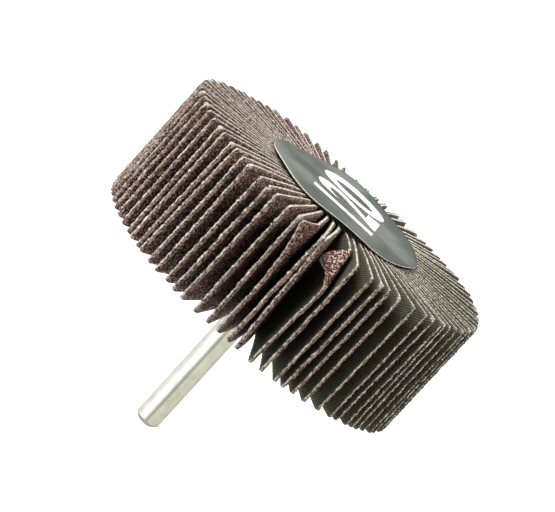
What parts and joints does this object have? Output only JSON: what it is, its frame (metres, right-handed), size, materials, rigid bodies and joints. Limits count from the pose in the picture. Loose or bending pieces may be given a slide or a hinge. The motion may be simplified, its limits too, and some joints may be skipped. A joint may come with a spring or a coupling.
{
  "type": "mounted flap wheel",
  "caption": "Abrasive flap wheel on a plain steel shank: cloth flaps set on edge round a cast hub, with a round paper label on its front.",
  "frame": {"origin": "on the axis, in the plane of the flaps' rear edges, where the shank leaves the wheel", "axes": "+Z along the axis towards the label, so that the shank points along -Z; +X and +Y are across the wheel, and the folded flap corner is near -Y"},
  "size_m": [0.08, 0.08, 0.0682],
  "materials": {
    "shank_steel": "polished",
    "hub_resin": "matte",
    "label_paper": "satin",
    "abrasive_cloth": "rough"
  },
  "bodies": {
    "root": {"shank": "shank_steel", "resin_core": "hub_resin", "label": "label_paper", "flap_pair_01": "abrasive_cloth", "flap_pair_02": "abrasive_cloth", "flap_pair_03": "abrasive_cloth", "flap_pair_04": "abrasive_cloth", "flap_pair_05": "abrasive_cloth", "flap_pair_06": "abrasive_cloth", "flap_pair_07": "abrasive_cloth", "flap_pair_08": "abrasive_cloth", "flap_pair_09": "abrasive_cloth", "flap_pair_10": "abrasive_cloth", "flap_pair_11": "abrasive_cloth", "flap_pair_12": "abrasive_cloth", "flap_pair_13": "abrasive_cloth", "flap_pair_14": "abrasive_cloth", "flap_pair_15": "abrasive_cloth", "flap_pair_16": "abrasive_cloth", "flap_pair_17": "abrasive_cloth", "flap_pair_18": "abrasive_cloth", "flap_pair_19": "abrasive_cloth", "flap_pair_20": "abrasive_cloth", "flap_pair_21": "abrasive_cloth", "flap_pair_22": "abrasive_cloth", "flap_pair_23": "abrasive_cloth", "flap_pair_24": "abrasive_cloth", "flap_pair_25": "abrasive_cloth", "flap_pair_26": "abrasive_cloth", "flap_pair_27": "abrasive_cloth", "flap_pair_28": "abrasive_cloth", "flap_pair_29": "abrasive_cloth", "flap_pair_30": "abrasive_cloth", "flap_pair_31": "abrasive_cloth", "flap_pair_32": "abrasive_cloth", "flap_pair_33": "abrasive_cloth", "flap_pair_34": "abrasive_cloth", "flap_pair_35": "abrasive_cloth", "flap_pair_36": "abrasive_cloth", "flap_pair_37": "abrasive_cloth", "flap_pair_38": "abrasive_cloth", "flap_pair_39": "abrasive_cloth", "flap_pair_40": "abrasive_cloth"}
  },
  "joints": []
}
